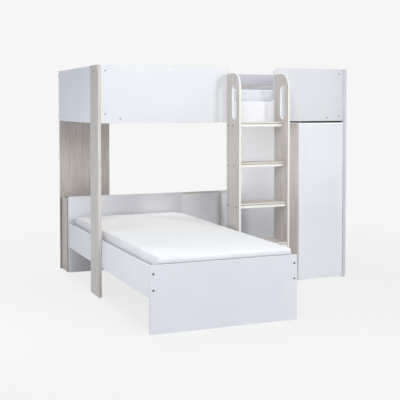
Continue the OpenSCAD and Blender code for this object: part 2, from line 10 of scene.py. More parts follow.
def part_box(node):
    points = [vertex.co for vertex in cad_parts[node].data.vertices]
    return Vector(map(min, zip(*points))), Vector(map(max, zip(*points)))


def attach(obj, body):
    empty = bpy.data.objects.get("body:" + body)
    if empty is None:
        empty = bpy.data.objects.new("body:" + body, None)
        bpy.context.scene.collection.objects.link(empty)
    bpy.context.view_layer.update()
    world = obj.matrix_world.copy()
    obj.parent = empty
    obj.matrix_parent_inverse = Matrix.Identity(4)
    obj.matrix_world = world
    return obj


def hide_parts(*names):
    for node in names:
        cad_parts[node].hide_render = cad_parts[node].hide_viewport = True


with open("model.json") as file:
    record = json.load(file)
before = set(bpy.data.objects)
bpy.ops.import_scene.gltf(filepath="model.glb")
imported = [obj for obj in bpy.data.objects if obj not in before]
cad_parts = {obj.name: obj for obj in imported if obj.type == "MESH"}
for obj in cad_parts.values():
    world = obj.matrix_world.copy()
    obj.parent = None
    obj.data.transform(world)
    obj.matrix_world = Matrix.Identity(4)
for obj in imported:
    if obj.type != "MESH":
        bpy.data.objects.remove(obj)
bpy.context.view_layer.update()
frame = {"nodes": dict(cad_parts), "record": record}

MM = 0.001                   # sizes and places are in metres

# ---- camera: found from the photograph's vanishing points ----

CAMERA_AT = (-2.576, -5.725, 1.332)
CAMERA_YAW = 22.51           # degrees to the right of straight ahead
CAMERA_PITCH = -2.36         # degrees
CAMERA_LENS = 76.78          # millimetres
SENSOR_WIDTH = 36.0          # millimetres
CAMERA_SHIFT_Y = -0.15


def srgb(r, g, b):
    """A colour given in 0 to 255 as the eye reads it, for a shader's linear socket."""
    def linear(v):
        v /= 255
        return v / 12.92 if v <= 0.04045 else ((v + 0.055) / 1.055) ** 2.4
    return (linear(r), linear(g), linear(b), 1.0)


# ---- shader building blocks ----

MIX_FACTOR, MIX_A, MIX_B, MIX_RESULT = 0, 6, 7, 2    # a Mix node's sockets for colours


class Nodes:
    """A node tree under construction, with short ways to add and join nodes."""

    def __init__(self, tree):
        self.tree = tree

    def add(self, kind, **values):
        node = self.tree.nodes.new(kind)
        for key, value in values.items():
            setattr(node, key, value)
        return node

    def feed(self, value, socket):
        """Joins another node's output to a socket, or sets the socket to a plain value."""
        if isinstance(value, bpy.types.NodeSocket):
            self.tree.links.new(value, socket)
        else:
            socket.default_value = value

    def math(self, operation, a, b):
        node = self.add("ShaderNodeMath", operation=operation)
        self.feed(a, node.inputs[0])
        self.feed(b, node.inputs[1])
        return node.outputs[0]

    def mix_shaders(self, share, first, second):
        node = self.add("ShaderNodeMixShader")
        for value, socket in zip((share, first, second), node.inputs):
            self.feed(value, socket)
        return node.outputs[0]


class Shader(Nodes):
    """A material on the Principled shader, textured by the object's own coordinates."""

    def __init__(self, name):
        self.material = bpy.data.materials.new(name)
        self.material.use_nodes = True
        super().__init__(self.material.node_tree)
        self.surface = self.tree.nodes["Principled BSDF"]
        self.place = self.add("ShaderNodeTexCoord").outputs["Object"]

    def stretched(self, scale, turn=(0, 0, 0)):
        """The object's own coordinates, scaled by axis and turned."""
        mapping = self.add("ShaderNodeMapping")
        self.feed(scale, mapping.inputs["Scale"])
        self.feed(turn, mapping.inputs["Rotation"])
        self.feed(self.place, mapping.inputs["Vector"])
        return mapping.outputs["Vector"]

    def noise(self, vector, scale, detail, roughness=0.5, distortion=0.0):
        node = self.add("ShaderNodeTexNoise")
        for socket, value in (("Vector", vector), ("Scale", scale), ("Detail", detail),
                              ("Roughness", roughness), ("Distortion", distortion)):
            self.feed(value, node.inputs[socket])
        return node.outputs["Fac"]

    def ramp(self, value, stops):
        """Colours along a 0 to 1 value. stops are (position, colour)."""
        node = self.add("ShaderNodeValToRGB")
        ramp = node.color_ramp
        while len(ramp.elements) < len(stops):
            ramp.elements.new(0.5)
        for element, (position, colour) in zip(ramp.elements, stops):
            element.position = position
            element.color = colour
        self.feed(value, node.inputs["Fac"])
        return node.outputs["Color"]

    def blend(self, factor, a, b, mode="MIX"):
        node = self.add("ShaderNodeMix", data_type="RGBA", blend_type=mode)
        self.feed(factor, node.inputs[MIX_FACTOR])
        self.feed(a, node.inputs[MIX_A])
        self.feed(b, node.inputs[MIX_B])
        return node.outputs[MIX_RESULT]

    def span(self, value, low, high):
        """A 0 to 1 value stretched between low and high."""
        node = self.add("ShaderNodeMapRange")
        for socket, given in (("Value", value), ("To Min", low), ("To Max", high)):
            self.feed(given, node.inputs[socket])
        return node.outputs["Result"]

    def colour(self, source):
        self.feed(source, self.surface.inputs["Base Color"])

    def roughness(self, source):
        self.feed(source, self.surface.inputs["Roughness"])

    def bump(self, height, strength, distance):
        node = self.add("ShaderNodeBump")
        for socket, value in (("Height", height), ("Strength", strength), ("Distance", distance)):
            self.feed(value, node.inputs[socket])
        self.feed(node.outputs["Normal"], self.surface.inputs["Normal"])

    def constant(self, **values):
        """Sets sockets of the Principled shader, named with _ for each space."""
        for key, value in values.items():
            self.surface.inputs[key.replace("_", " ")].default_value = value


# ---- materials ----

def laminate(name, light, dark):
    """Smooth white laminate: a faint mottle, a fine pearl texture and slightly uneven gloss."""
    s = Shader(name)
    mottle = s.noise(s.place, scale=3.0, detail=3.0)
    gloss = s.noise(s.place, scale=14.0, detail=3.0)
    pearl = s.noise(s.place, scale=900.0, detail=2.0)
    s.colour(s.ramp(mottle, [(0.35, dark), (0.65, light)]))
    s.roughness(s.span(gloss, 0.36, 0.50))
    s.bump(pearl, strength=0.10, distance=0.2 * MM)
    s.constant(Specular_IOR_Level=0.42)
    return s.material


GRAIN_SCALE = {"X": (1.0, 26.0, 26.0), "Y": (26.0, 1.0, 26.0), "Z": (26.0, 26.0, 1.0)}
PORE_SCALE = {"X": (4.0, 26.0, 26.0), "Y": (26.0, 4.0, 26.0), "Z": (26.0, 26.0, 4.0)}
WHITE_FLECK = (1.0, 1.0, 1.0, 1.0)


def grained(name, grain, pale, middle, deep, contrast=1.0):
    """Wood with its grain along an axis: broad bands, narrow streaks, fine pores."""
    s = Shader(name)
    along = s.stretched(GRAIN_SCALE[grain])
    bands = s.noise(along, scale=0.9, detail=3.0, roughness=0.55, distortion=0.6)
    streaks = s.noise(along, scale=4.2, detail=6.0, roughness=0.62, distortion=0.25)
    pores = s.noise(s.stretched(PORE_SCALE[grain]), scale=22.0, detail=3.0, roughness=0.7)
    base = s.ramp(bands, [(0.30, middle), (0.52, pale), (0.72, middle)])
    lines = s.ramp(streaks, [(0.36, deep), (0.56, pale)])
    flecks = s.ramp(pores, [(0.38, deep), (0.50, WHITE_FLECK)])
    mixed = s.blend(0.42 * contrast, base, lines)
    s.colour(s.blend(0.16 * contrast, mixed, flecks, "MULTIPLY"))
    s.roughness(s.span(streaks, 0.46, 0.62))
    s.bump(s.math("ADD", streaks, pores), strength=0.16, distance=0.4 * MM)
    s.constant(Specular_IOR_Level=0.35)
    return s.material


def edge_band(name, light, dark):
    """The finish of a board's narrow faces, with faint upright lines; some copies hold painted
    light on edges and painted shade in grooves and gaps.
    """
    s = Shader(name)
    lines = s.noise(s.stretched((60.0, 60.0, 2.0)), scale=3.0, detail=4.0)
    s.colour(s.ramp(lines, [(0.3, dark), (0.7, light)]))
    s.roughness(s.span(lines, 0.40, 0.52))
    s.bump(s.noise(s.place, scale=700.0, detail=2.0), strength=0.08, distance=0.2 * MM)
    return s.material


def knitted(name, light, dark, shade=()):
    """A mattress cover: a fine knit, a soft sheen and faint creases.

    shade holds (height, share of the light) from below, for a side that darkens downwards."""
    s = Shader(name)
    rows = s.noise(s.place, scale=520.0, detail=2.0, roughness=0.6)
    loops = s.add("ShaderNodeTexVoronoi")
    s.feed(380.0, loops.inputs["Scale"])
    s.feed(s.place, loops.inputs["Vector"])
    creases = s.noise(s.stretched((1.0, 2.4, 1.0), turn=(0, 0, 0.5)), scale=4.5, detail=4.0,
                      roughness=0.55, distortion=1.2)
    base = s.ramp(s.noise(s.place, scale=5.0, detail=3.0), [(0.3, dark), (0.7, light)])
    if shade:
        low, high = shade[0][0], shade[-1][0]
        parts = s.add("ShaderNodeSeparateXYZ")
        s.feed(s.place, parts.inputs["Vector"])
        height = s.math("DIVIDE", s.math("SUBTRACT", parts.outputs["Z"], low), high - low)
        stops = [((z - low) / (high - low), (share, share, share, 1.0)) for z, share in shade]
        base = s.blend(1.0, base, s.ramp(height, stops), "MULTIPLY")
    s.colour(base)
    s.roughness(s.span(rows, 0.80, 0.95))
    knit = s.math("ADD", s.math("MULTIPLY", loops.outputs["Distance"], 0.5), rows)
    s.bump(s.math("ADD", s.math("MULTIPLY", creases, 6.0), knit), strength=0.22, distance=0.9 * MM)
    s.constant(Sheen_Weight=0.8, Sheen_Roughness=0.5, Specular_IOR_Level=0.2)
    return s.material


def metal(name, light, dark, rough):
    """Zinc plated or dark steel with fine turning marks."""
    s = Shader(name)
    marks = s.noise(s.stretched((1.0, 1.0, 8.0)), scale=260.0, detail=3.0)
    s.colour(s.ramp(marks, [(0.3, dark), (0.7, light)]))
    s.roughness(s.span(marks, rough - 0.08, rough + 0.10))
    s.bump(marks, strength=0.12, distance=0.2 * MM)
    s.constant(Metallic=0.85)
    return s.material


def nylon(name, light, dark):
    """Moulded nylon with a fine, slightly uneven skin."""
    s = Shader(name)
    s.colour(s.ramp(s.noise(s.place, scale=60.0, detail=3.0), [(0.3, dark), (0.7, light)]))
    s.roughness(s.span(s.noise(s.place, scale=200.0, detail=2.0), 0.40, 0.55))
    s.bump(s.noise(s.place, scale=500.0, detail=2.0), strength=0.1, distance=0.2 * MM)
    return s.material


WHITE = laminate("white_laminate", srgb(236, 238, 244), srgb(232, 234, 241))
# painted light: a lighter copy of the laminate, on the footboard's top, the wardrobe's side panel
# and the sill in the entry
PAINTED_LIGHT_WHITE = laminate("painted_light_laminate", srgb(244, 246, 250), srgb(240, 242, 247))
# painted shade: a darker copy of the laminate, for the footboard
FOOTBOARD_SHADE_WHITE = laminate("footboard_painted_shade_laminate", srgb(226, 228, 236), srgb(222, 224, 233))
# painted shade: a darker copy of the laminate, for the front guard
GUARD_SHADE_WHITE = laminate("guard_painted_shade_laminate", srgb(220, 222, 226), srgb(216, 218, 223))
# painted shade in cool light: a darker, bluer copy of the laminate, for the left end panel
END_PANEL_SHADE_WHITE = laminate("end_panel_painted_shade_laminate", srgb(230, 235, 246), srgb(226, 231, 243))
# painted shade: a darker copy of the laminate, on the fronts of the right side panel and the back
# guard
SHADED_WHITE = laminate("shaded_white_laminate", srgb(208, 210, 220), srgb(203, 205, 216))
# painted deep shade: a still darker copy of the laminate, on the ledge front
DEEP_SHADE_WHITE = laminate("deep_painted_shade_laminate", srgb(192, 195, 208), srgb(187, 190, 204))
# painted light: a lighter, bluer copy of the laminate, on the low back panel's front
LOW_PANEL_LIGHT_WHITE = laminate("low_panel_painted_light_laminate", srgb(247, 250, 255), srgb(244, 247, 253))
# painted highlight: a near white copy of the laminate, along the top of the wardrobe post and door
HIGHLIGHT_WHITE = laminate("painted_highlight_laminate", srgb(252, 252, 252), srgb(249, 249, 250))

OAK = {axis: grained("grey_oak_" + axis.lower(), axis, srgb(217, 211, 207), srgb(200, 192, 187),
                     srgb(169, 159, 153)) for axis in "XZ"}
# painted light: a lighter copy of the grey oak, for the wardrobe post
LIT_OAK = grained("painted_light_grey_oak", "Z", srgb(243, 235, 231), srgb(227, 218, 212),
                    srgb(195, 184, 177))
# painted cool light: a bluer copy of the grey oak, on the front left post's left face
COOL_LIT_OAK = grained("painted_cool_light_oak", "Z", srgb(217, 214, 210), srgb(200, 195, 191),
                   srgb(169, 162, 157))
# painted shade: a darker copy of the grey oak
OAK_SHADED = grained("shaded_grey_oak", "Z", srgb(168, 161, 156), srgb(152, 144, 139),
                     srgb(126, 118, 113))
KHAKI = {axis: grained("khaki_grey_trim_" + axis.lower(), axis, srgb(220, 221, 214),
                       srgb(204, 205, 198), srgb(178, 179, 172)) for axis in "XYZ"}

# painted light: a lighter copy of the cream edge, on each tread's lower front band
LIT_EDGE_BAND = edge_band("painted_light_edge_band", srgb(251, 250, 245), srgb(245, 244, 237))
CREAM = edge_band("cream_edge_band", srgb(238, 237, 228), srgb(230, 229, 219))
TAUPE_BAND = edge_band("taupe_edge_band", srgb(238, 235, 226), srgb(228, 225, 215))
# painted shade: a darker copy of the edge colour, in the treads' grooves and on the headboard's
# top
SHADE_BAND = edge_band("painted_shade_band", srgb(203, 199, 188), srgb(193, 189, 178))
SLOT_WALL = edge_band("pale_slot_wall", srgb(234, 238, 241), srgb(228, 232, 236))
# painted shadow: a near black band where the gap above the wardrobe lies in shade
GAP_SHADOW = edge_band("painted_gap_shadow", srgb(30, 30, 34), srgb(22, 22, 26))
PINE = {axis: grained("softwood_" + axis.lower(), axis, srgb(226, 203, 164), srgb(212, 184, 140),
                      srgb(176, 138, 94), contrast=0.9) for axis in "XYZ"}

COVER_LIGHT, COVER_DARK = srgb(247, 250, 254), srgb(243, 246, 251)
# The lower mattress's front darkens towards the footboard: millimetres above the footboard's
# top, and the share of the light there.
FRONT_SHADE = ((2.5, 0.46), (5, 0.76), (11, 0.84), (17, 0.88), (23, 0.92), (30, 1.0))
footboard_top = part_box("footboard")[1].z
COVER = knitted("mattress_cover", COVER_LIGHT, COVER_DARK)
# painted shade: a darker copy of the cover, on the lower mattress's sides and all over the upper
# mattress
SHADED_COVER = knitted("mattress_painted_shade", srgb(229, 231, 237), srgb(222, 224, 231))
COVER_FRONT = knitted("mattress_front", COVER_LIGHT, COVER_DARK,
                      [(footboard_top + up * MM, share) for up, share in FRONT_SHADE])
PIPING = knitted("mattress_piping", srgb(252, 252, 253), srgb(248, 248, 250))

BOLT_STEEL = metal("dark_bolt_steel", srgb(128, 128, 134), srgb(92, 92, 98), rough=0.42)
PALE_BOLT_STEEL = metal("pale_bolt_steel", srgb(176, 178, 184), srgb(146, 148, 154), rough=0.42)
BRIGHT_STEEL = metal("plated_steel", srgb(186, 188, 192), srgb(158, 160, 165), rough=0.30)
NYLON = nylon("white_nylon", srgb(236, 236, 230), srgb(226, 226, 220))


# ---- boards: the CAD shapes with rounded edges ----

BOARD_EDGE = 1.0 * MM        # radius of a laminated board's edge
WOOD_EDGE = 1.6 * MM         # radius of a post's or upright's edge
EDGE_STRIPS = 2              # strips in a rounded edge
SHARP = math.radians(35)     # an edge that bends more than this is rounded
FLAT = math.radians(0.5)     # and one that bends less than this is dropped
MERGE = 1e-6                 # points nearer than this are one
HOLE_LIMIT = 20 * MM         # sharp outlines smaller than this are drilled holes
SMALL_FACE = 4e-4            # faces under this area, in square metres, belong to a curve


def outline_groups(edges):
    """Sorts edges into connected outlines."""
    left = set(edges)
    while left:
        group, reach = [], [left.pop()]
        while reach:
            edge = reach.pop()
            group.append(edge)
            for vert in edge.verts:
                for other in vert.link_edges:
                    if other in left:
                        left.discard(other)
                        reach.append(other)
        yield group


def span_of(edges):
    """The largest extent of some edges along an axis."""
    points = [vert.co for edge in edges for vert in edge.verts]
    return max(max(p[axis] for p in points) - min(p[axis] for p in points) for axis in range(3))


def new_piece(name, bm, surfaces):
    mesh = bpy.data.meshes.new(name)
    bm.to_mesh(mesh)
    bm.free()
    for surface in surfaces:
        mesh.materials.append(surface)
    piece = bpy.data.objects.new(name, mesh)
    bpy.context.scene.collection.objects.link(piece)
    return piece


def rounded_copy(node, name, radius, surfaces, pick, cuts):
    """A copy of a CAD node's mesh with its long sharp edges rounded.

    surfaces are its materials, and pick(normal, centre) says which of them a face has.
    cuts are (place, direction) planes that part its faces, where a strip of a surface ends."""
    bm = bmesh.new()
    bm.from_mesh(frame["nodes"][node].data)
    bmesh.ops.remove_doubles(bm, verts=bm.verts, dist=MERGE)
    bmesh.ops.dissolve_limit(bm, angle_limit=FLAT, verts=bm.verts, edges=bm.edges)
    sharp = [e for e in bm.edges if len(e.link_faces) == 2 and e.calc_face_angle(0) > SHARP]
    rounded = [e for group in outline_groups(sharp) if span_of(group) > HOLE_LIMIT for e in group]
    bmesh.ops.bevel(bm, geom=rounded, offset=radius, segments=EDGE_STRIPS, profile=0.5,
                    affect="EDGES", clamp_overlap=False)
    for place, direction in cuts:
        everything = list(bm.verts) + list(bm.edges) + list(bm.faces)
        bmesh.ops.bisect_plane(bm, geom=everything, dist=MERGE, plane_co=place, plane_no=direction)
    bm.normal_update()
    for face in bm.faces:
        face.material_index = pick(face.normal, face.calc_center_median())
        face.smooth = face.calc_area() < SMALL_FACE
    return new_piece(name, bm, surfaces)


# ---- which surface a face has: pick(normal, centre) gives its place in the board's list ----

FRONT, LEFT, UP = Vector((0, -1, 0)), Vector((-1, 0, 0)), Vector((0, 0, 1))
HALF_EDGE = 0.5              # faces turned this far to a side: it and its edges' near strips
WHOLE_EDGE = 0.3             # and this far: the edges' far strips too


def one_surface(normal, centre):
    return 0


def facing(direction, limit):
    """Surface 1 on the faces turned to a side, surface 0 elsewhere."""
    return lambda normal, centre: 1 if normal.dot(direction) > limit else 0


def front_below(height):
    """Surface 1 on the front below a height, surface 0 elsewhere."""
    return lambda normal, centre: 1 if normal.y < -WHOLE_EDGE and centre.z < height else 0


def front_above(height):
    """Surface 1 on the front above a height, surface 0 elsewhere."""
    return lambda normal, centre: 1 if normal.y < -WHOLE_EDGE and centre.z > height else 0


def low_board_faces(normal, centre):
    """A board with a band on its top, surface 1, and a darker front edge with painted shade,
    surface 2.
    """
    if normal.y < -HALF_EDGE:
        return 2
    return 1 if normal.z > HALF_EDGE else 0


def level_cut(height):
    return (Vector((0, 0, height)), UP)


def cross_cut(x):
    return (Vector((x, 0, 0)), Vector((1, 0, 0)))


# ---- boards: each one's finish, with painted light and shade on some ----

def body_of_node(node):
    bodies = frame["record"]["behaviour"]["bodies"]
    return next(body for body, nodes in bodies.items() if node in nodes)


def dress(node, radius, surfaces, pick=one_surface, cuts=()):
    """Stands a rounded, finished copy in for a CAD board."""
    piece = rounded_copy(node, node + "_finished", radius, surfaces, pick, cuts)
    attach(piece, body_of_node(node))
    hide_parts(node)


def white_board(node, surfaces, pick=one_surface, cuts=()):
    dress(node, BOARD_EDGE, surfaces, pick, cuts)


def wood_board(node, surfaces, pick=one_surface, cuts=(), radius=WOOD_EDGE):
    dress(node, radius, surfaces, pick, cuts)


PLAIN_WHITE = ("left_rail", "right_rail", "return_panel", "wardrobe_back", "wardrobe_bottom",
               "wardrobe_plinth", "wardrobe_shelf")
# painted shade on the fronts of the right side panel, the back guard and the ledge front; painted
# light on the low back panel's front
FRONTS_WITH_PAINTED_LIGHT_AND_SHADE = {"right_side_panel": SHADED_WHITE, "back_guard": SHADED_WHITE,
               "ledge_front": DEEP_SHADE_WHITE, "low_back_panel": LOW_PANEL_LIGHT_WHITE}
TRIM = {"low_back_cap": "X", "return_cap": "Y", "corner_batten": "Z"}    # with its grain's axis

for board in PLAIN_WHITE:
    white_board(board, [WHITE])
# painted shadow of the gap on the wardrobe top's front edge
white_board("wardrobe_top", [WHITE, GAP_SHADOW], facing(FRONT, HALF_EDGE))
# painted shade on the footboard, with painted light on its top
white_board("footboard", [FOOTBOARD_SHADE_WHITE, PAINTED_LIGHT_WHITE], facing(UP, HALF_EDGE))
# painted shade in cool light on the left end panel
white_board("left_end_panel", [END_PANEL_SHADE_WHITE])
for board, front in FRONTS_WITH_PAINTED_LIGHT_AND_SHADE.items():
    white_board(board, [WHITE, front], facing(FRONT, WHOLE_EDGE))
# painted light on the wardrobe's side panel
white_board("wardrobe_side_panel", [PAINTED_LIGHT_WHITE])
# painted shade on the headboard's top
white_board("headboard", [WHITE, SHADE_BAND], facing(UP, HALF_EDGE))

wood_board("low_right_board", [OAK["Z"]])
# painted cool light on the post's left face
wood_board("front_left_post", [OAK["Z"], COOL_LIT_OAK], facing(LEFT, HALF_EDGE))
wood_board("low_left_board", [OAK["Z"], TAUPE_BAND, OAK_SHADED], low_board_faces)
low_board_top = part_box("low_left_board")[1].z
# painted shade on the panel's front below the low board's top
wood_board("back_left_panel", [OAK["Z"], OAK_SHADED], front_below(low_board_top),
           [level_cut(low_board_top)])
for board, grain in TRIM.items():
    wood_board(board, [KHAKI[grain]], radius=BOARD_EDGE)


# ---- the front above the wardrobe: a painted gap shadow over a painted highlight line ----

GAP_SHADOW_WIDTH = 5 * MM          # painted shadow of the gap, on the guard's lower edge above the wardrobe
GAP_SHADOW_ON_POST = 7 * MM        # and its part on the wardrobe post
HIGHLIGHT_STRIP = 9 * MM         # painted highlight: a bright strip under the painted gap shadow, on the post and the door

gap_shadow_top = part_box("front_guard")[0].z + GAP_SHADOW_WIDTH
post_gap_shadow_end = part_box("wardrobe_post")[1].z - GAP_SHADOW_ON_POST
post_line_end = post_gap_shadow_end - HIGHLIGHT_STRIP
door_line_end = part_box("wardrobe_door")[1].z - HIGHLIGHT_STRIP
entry_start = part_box("ladder_left_upright")[1].x
entry_end, gap_shadow_start = (corner.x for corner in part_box("ladder_right_upright"))


def guard_faces(normal, centre):
    """The painted gap shadow, surface 1, right of the ladder, and a brighter sill with painted
    light, surface 2, in the entry.
    """
    if normal.y > -WHOLE_EDGE:
        return 0
    if entry_start < centre.x < entry_end:
        return 2
    return 1 if centre.z < gap_shadow_top and centre.x > gap_shadow_start else 0


def post_faces(normal, centre):
    """The painted gap shadow, surface 1, and the painted highlight under it, surface 2, at the
    post's top.
    """
    seen = normal.y < -WHOLE_EDGE or normal.x < -WHOLE_EDGE
    if not seen or centre.z < post_line_end:
        return 0
    return 1 if centre.z > post_gap_shadow_end else 2


# painted shade on the front guard, a painted gap shadow on its lower edge above the wardrobe and
# painted light on the sill in the entry
white_board("front_guard", [GUARD_SHADE_WHITE, GAP_SHADOW, PAINTED_LIGHT_WHITE], guard_faces,
            [level_cut(gap_shadow_top)] + [cross_cut(x) for x in (entry_start, entry_end, gap_shadow_start)])
# painted light on the wardrobe post, with a painted gap shadow and a painted highlight at its top
wood_board("wardrobe_post", [LIT_OAK, GAP_SHADOW, HIGHLIGHT_WHITE], post_faces,
           [level_cut(post_gap_shadow_end), level_cut(post_line_end)])
# painted highlight along the door's top
white_board("wardrobe_door", [WHITE, HIGHLIGHT_WHITE], front_above(door_line_end),
            [level_cut(door_line_end)])


# ---- shelves, ladder and softwood ----

SLOTS_ABOVE = 1.24           # the height above which an upright has its hand slot
SLOT_INSET = 3 * MM          # the slot's walls lie further than this inside the upright's edges
TREADS = 4
GROOVE_LOW = 17 * MM         # the groove in a tread's front, above its underside
GROOVE_HIGH = 24 * MM
GROOVE_DEPTH = 6 * MM
SLACK = 1 * MM               # for a face that lies on one of these limits
SHELVES = ("ledge_shelf", "low_shelf")
SOFTWOOD = {"front_ledger": "X", "rear_ledger": "X", "ledge_cleat": "X", "ledge_end_cleats": "Z",
            "corner_blocks": "Z", "end_battens": "Y", "upper_slats": "Y", "rail_cleats": "Y",
            "lower_slats": "X"}


def upright_faces(board):
    """Oak on an upright's broad faces, a cream band on its edges and paler walls in its slot."""
    low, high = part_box(board)

    def pick(normal, centre):
        if abs(normal.x) > HALF_EDGE:
            return 0
        inside = low.y + SLOT_INSET < centre.y < high.y - SLOT_INSET and centre.z > SLOTS_ABOVE
        return 2 if inside else 1
    return pick


def tread_faces(number):
    """A band with painted light below the tread's groove, a duller one above it, and painted shade
    in the groove.
    """
    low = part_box("tread_%d" % number)[0]

    def pick(normal, centre):
        up = centre.z - low.z
        if centre.y < low.y + GROOVE_DEPTH + SLACK and GROOVE_LOW < up < GROOVE_HIGH:
            return 3
        if normal.y > -HALF_EDGE:
            return 0
        return 1 if up < GROOVE_LOW + SLACK else 2
    return pick


for board in SHELVES:
    wood_board(board, [OAK["X"]], radius=BOARD_EDGE)
for board in ("ladder_left_upright", "ladder_right_upright"):
    wood_board(board, [OAK["Z"], CREAM, SLOT_WALL], upright_faces(board))
# painted light on each tread's lower front band and painted shade in its groove
for number in range(1, TREADS + 1):
    wood_board("tread_%d" % number, [OAK["X"], LIT_EDGE_BAND, TAUPE_BAND, SHADE_BAND],
               tread_faces(number), radius=BOARD_EDGE)
for board, grain in SOFTWOOD.items():
    dress(board, BOARD_EDGE, [PINE[grain]])


# ---- CAD pieces that keep their shape ----

KEPT_SHAPES = {
    "end_panel_bolts": BOLT_STEEL, "right_panel_bolts": BOLT_STEEL, "ladder_bolts": BOLT_STEEL,
    "footboard_bolts": BOLT_STEEL, "headboard_bolts": BOLT_STEEL, "guard_bolts": PALE_BOLT_STEEL,
    "shelf_pins": BRIGHT_STEEL, "hanging_rail": BRIGHT_STEEL, "rail_sockets": BRIGHT_STEEL,
    "door_pivot_brackets": BRIGHT_STEEL, "magnetic_catch": BRIGHT_STEEL,
    "strike_plate": BRIGHT_STEEL, "door_pivot_bushes": NYLON,
}

for node, surface in KEPT_SHAPES.items():
    materials = frame["nodes"][node].data.materials
    materials.clear()
    materials.append(surface)


# ---- mattresses: foam blocks under fitted covers ----

CORNER_STEPS = 9             # steps round each corner
STEP_LENGTH = 55 * MM        # between points along a side
FOOT_CORNER = 22 * MM        # radius of a mattress's corners, seen from above
HEAD_CORNER = 85 * MM        # and of the lower one's corners at the headboard
LEAST_CORNER = 5 * MM        # and of any corner further in on the top or the underside
TOP_EDGE = 10 * MM           # radius of the cover's top and bottom edges
HEAD_SOFTNESS = 1.0          # the share by which the lower one's top edge is softer at its head
HEAD_REACH = 0.25            # over this length
LEFT_SOFTNESS = 13 * MM      # how much further in its top edge is on its left side
LEFT_REACH = 0.10            # within this distance of that side
LEFT_POWER = 4               # and mostly near the top
LEAST_REACH = 0.10           # a point nearer than this to the middle is drawn in less
LOWER_SHIFT = 10 * MM        # the lower one lies nearer to the right rail
SIDE_SWELL = 4 * MM          # how far a side stands out between its edges
CROWN = 12 * MM              # the top's rise in the middle
CROWN_REACH = 0.40           # from the side to where the crown levels out
CROWN_POWER = 2.4            # how much of that rise is near the side
CREASE = 1.3 * MM            # height of the cover's soft creases
CREASE_SINK = 0.6            # the share of that height by which they lie lower
CREASE_FADE = 0.7            # the share of the crown's rise over which they set in
BROAD_SHARE = 0.6            # the broad creases' share of it, and the fine ones have the rest
UNDERSIDE_INSETS = (0.30, 0.16, 0.07, 0.03)          # from the side
LOWER_TURNS = (0.0, 0.5, 1.0, 1.5)                   # radians round the bottom edge
SIDE_SHARES = (0.12, 0.25, 0.4, 0.55, 0.7, 0.82)     # of the way up between the edges
UPPER_TURNS = (1.5, 1.2, 0.9, 0.6, 0.3, 0.0)         # radians round the top edge
TOP_STEPS = 12               # levels from the top edge to where the crown levels out
TOP_START = 0.03             # where they start, from the side
TOP_SPREAD = 1.2             # how much wider apart they get towards the middle
SOFTNESS_FADE = 0.6          # the share of the edge's softness that each passes on
SEAM_RADIUS = 3.0 * MM       # the cover's upright seam at each corner
SEAM_LEVELS = slice(5, 18)   # the levels that the seams run along
SEAM_SIDES = 6
TURNED_SIDE = 0.6            # how far a face turns to the left or right where the painted shade of the sides starts
TURNED_FRONT = 0.3           # and to the front


def corner_arcs(half, radii):
    """The points of each corner of a rounded rectangle. half is half its size.

    radii and the arcs go by corner, from (+x, +y) anticlockwise."""
    signs = ((1, 1), (-1, 1), (-1, -1), (1, -1))
    arcs = []
    for index, ((sx, sy), radius) in enumerate(zip(signs, radii)):
        centre = Vector((sx * (half.x - radius), sy * (half.y - radius)))
        turns = [math.radians(90 * (index + k / CORNER_STEPS)) for k in range(CORNER_STEPS + 1)]
        arcs.append([centre + radius * Vector((math.cos(t), math.sin(t))) for t in turns])
    return arcs


def rounded_ring(half, radii, counts):
    """Points round a rectangle. counts are the steps from each corner to the next."""
    arcs = corner_arcs(half, radii)
    points = []
    for arc, after, count in zip(arcs, arcs[1:] + arcs[:1], counts):
        points += arc
        points += [arc[-1].lerp(after[0], k / count) for k in range(1, count)]
    return points


def edge_curve(turn):
    """How far a point of a rounded edge lies in from the side, and from the top or underside."""
    return TOP_EDGE * (1 - math.sin(turn)), TOP_EDGE * (1 - math.cos(turn))


def mattress_levels(height):
    """(inset, height, over, drop) from the underside to the middle of the top.

    A softer edge adds up to over to a level's inset and takes up to drop from its height."""
    levels = [(inset, 0.0, 0.0, 0.0) for inset in UNDERSIDE_INSETS]
    for turn in LOWER_TURNS:
        over, rise = edge_curve(turn)
        levels.append((over + SIDE_SWELL, rise, 0.0, 0.0))
    for share in SIDE_SHARES:
        swell = SIDE_SWELL * (1 - math.sin(math.pi * share))
        levels.append((swell, TOP_EDGE + (height - 2 * TOP_EDGE) * share, 0.0, 0.0))
    for turn in UPPER_TURNS:
        over, drop = edge_curve(turn)
        levels.append((over + SIDE_SWELL, height - drop, over, drop))
    for step in range(1, TOP_STEPS + 1):
        inset = TOP_START + (CROWN_REACH - TOP_START) * (step / TOP_STEPS) ** TOP_SPREAD
        rise = CROWN * (1 - (1 - inset / CROWN_REACH) ** CROWN_POWER)
        levels.append((inset, height + rise, TOP_EDGE * SOFTNESS_FADE ** step, 0.0))
    return levels


def cover_crease(place):
    """Soft creases of a stretched cover, longer than they are wide."""
    broad = noise.noise(Vector((place.x * 3.1, place.y * 1.7, 4.0)))
    fine = noise.noise(Vector((place.x * 9.0 + place.y * 4.0, place.y * 5.0, 9.0)))
    return CREASE * (BROAD_SHARE * broad + (1 - BROAD_SHARE) * fine)


def softened(point, half, share, over, drop):
    """A lower mattress's point with its softer head end and left side, and how far it drops.

    share is the point's height as a share of the side's."""
    nearness = max(0.0, 1 - (half.y - point.y) / HEAD_REACH)
    extra = HEAD_SOFTNESS * nearness ** 2
    moved = point * (1 - over * extra / max(point.length, LEAST_REACH))
    leaning = max(0.0, 1 - (half.x + point.x) / LEFT_REACH)
    moved.x += LEFT_SOFTNESS * leaning * min(1.0, share ** LEFT_POWER)
    return moved, drop * extra


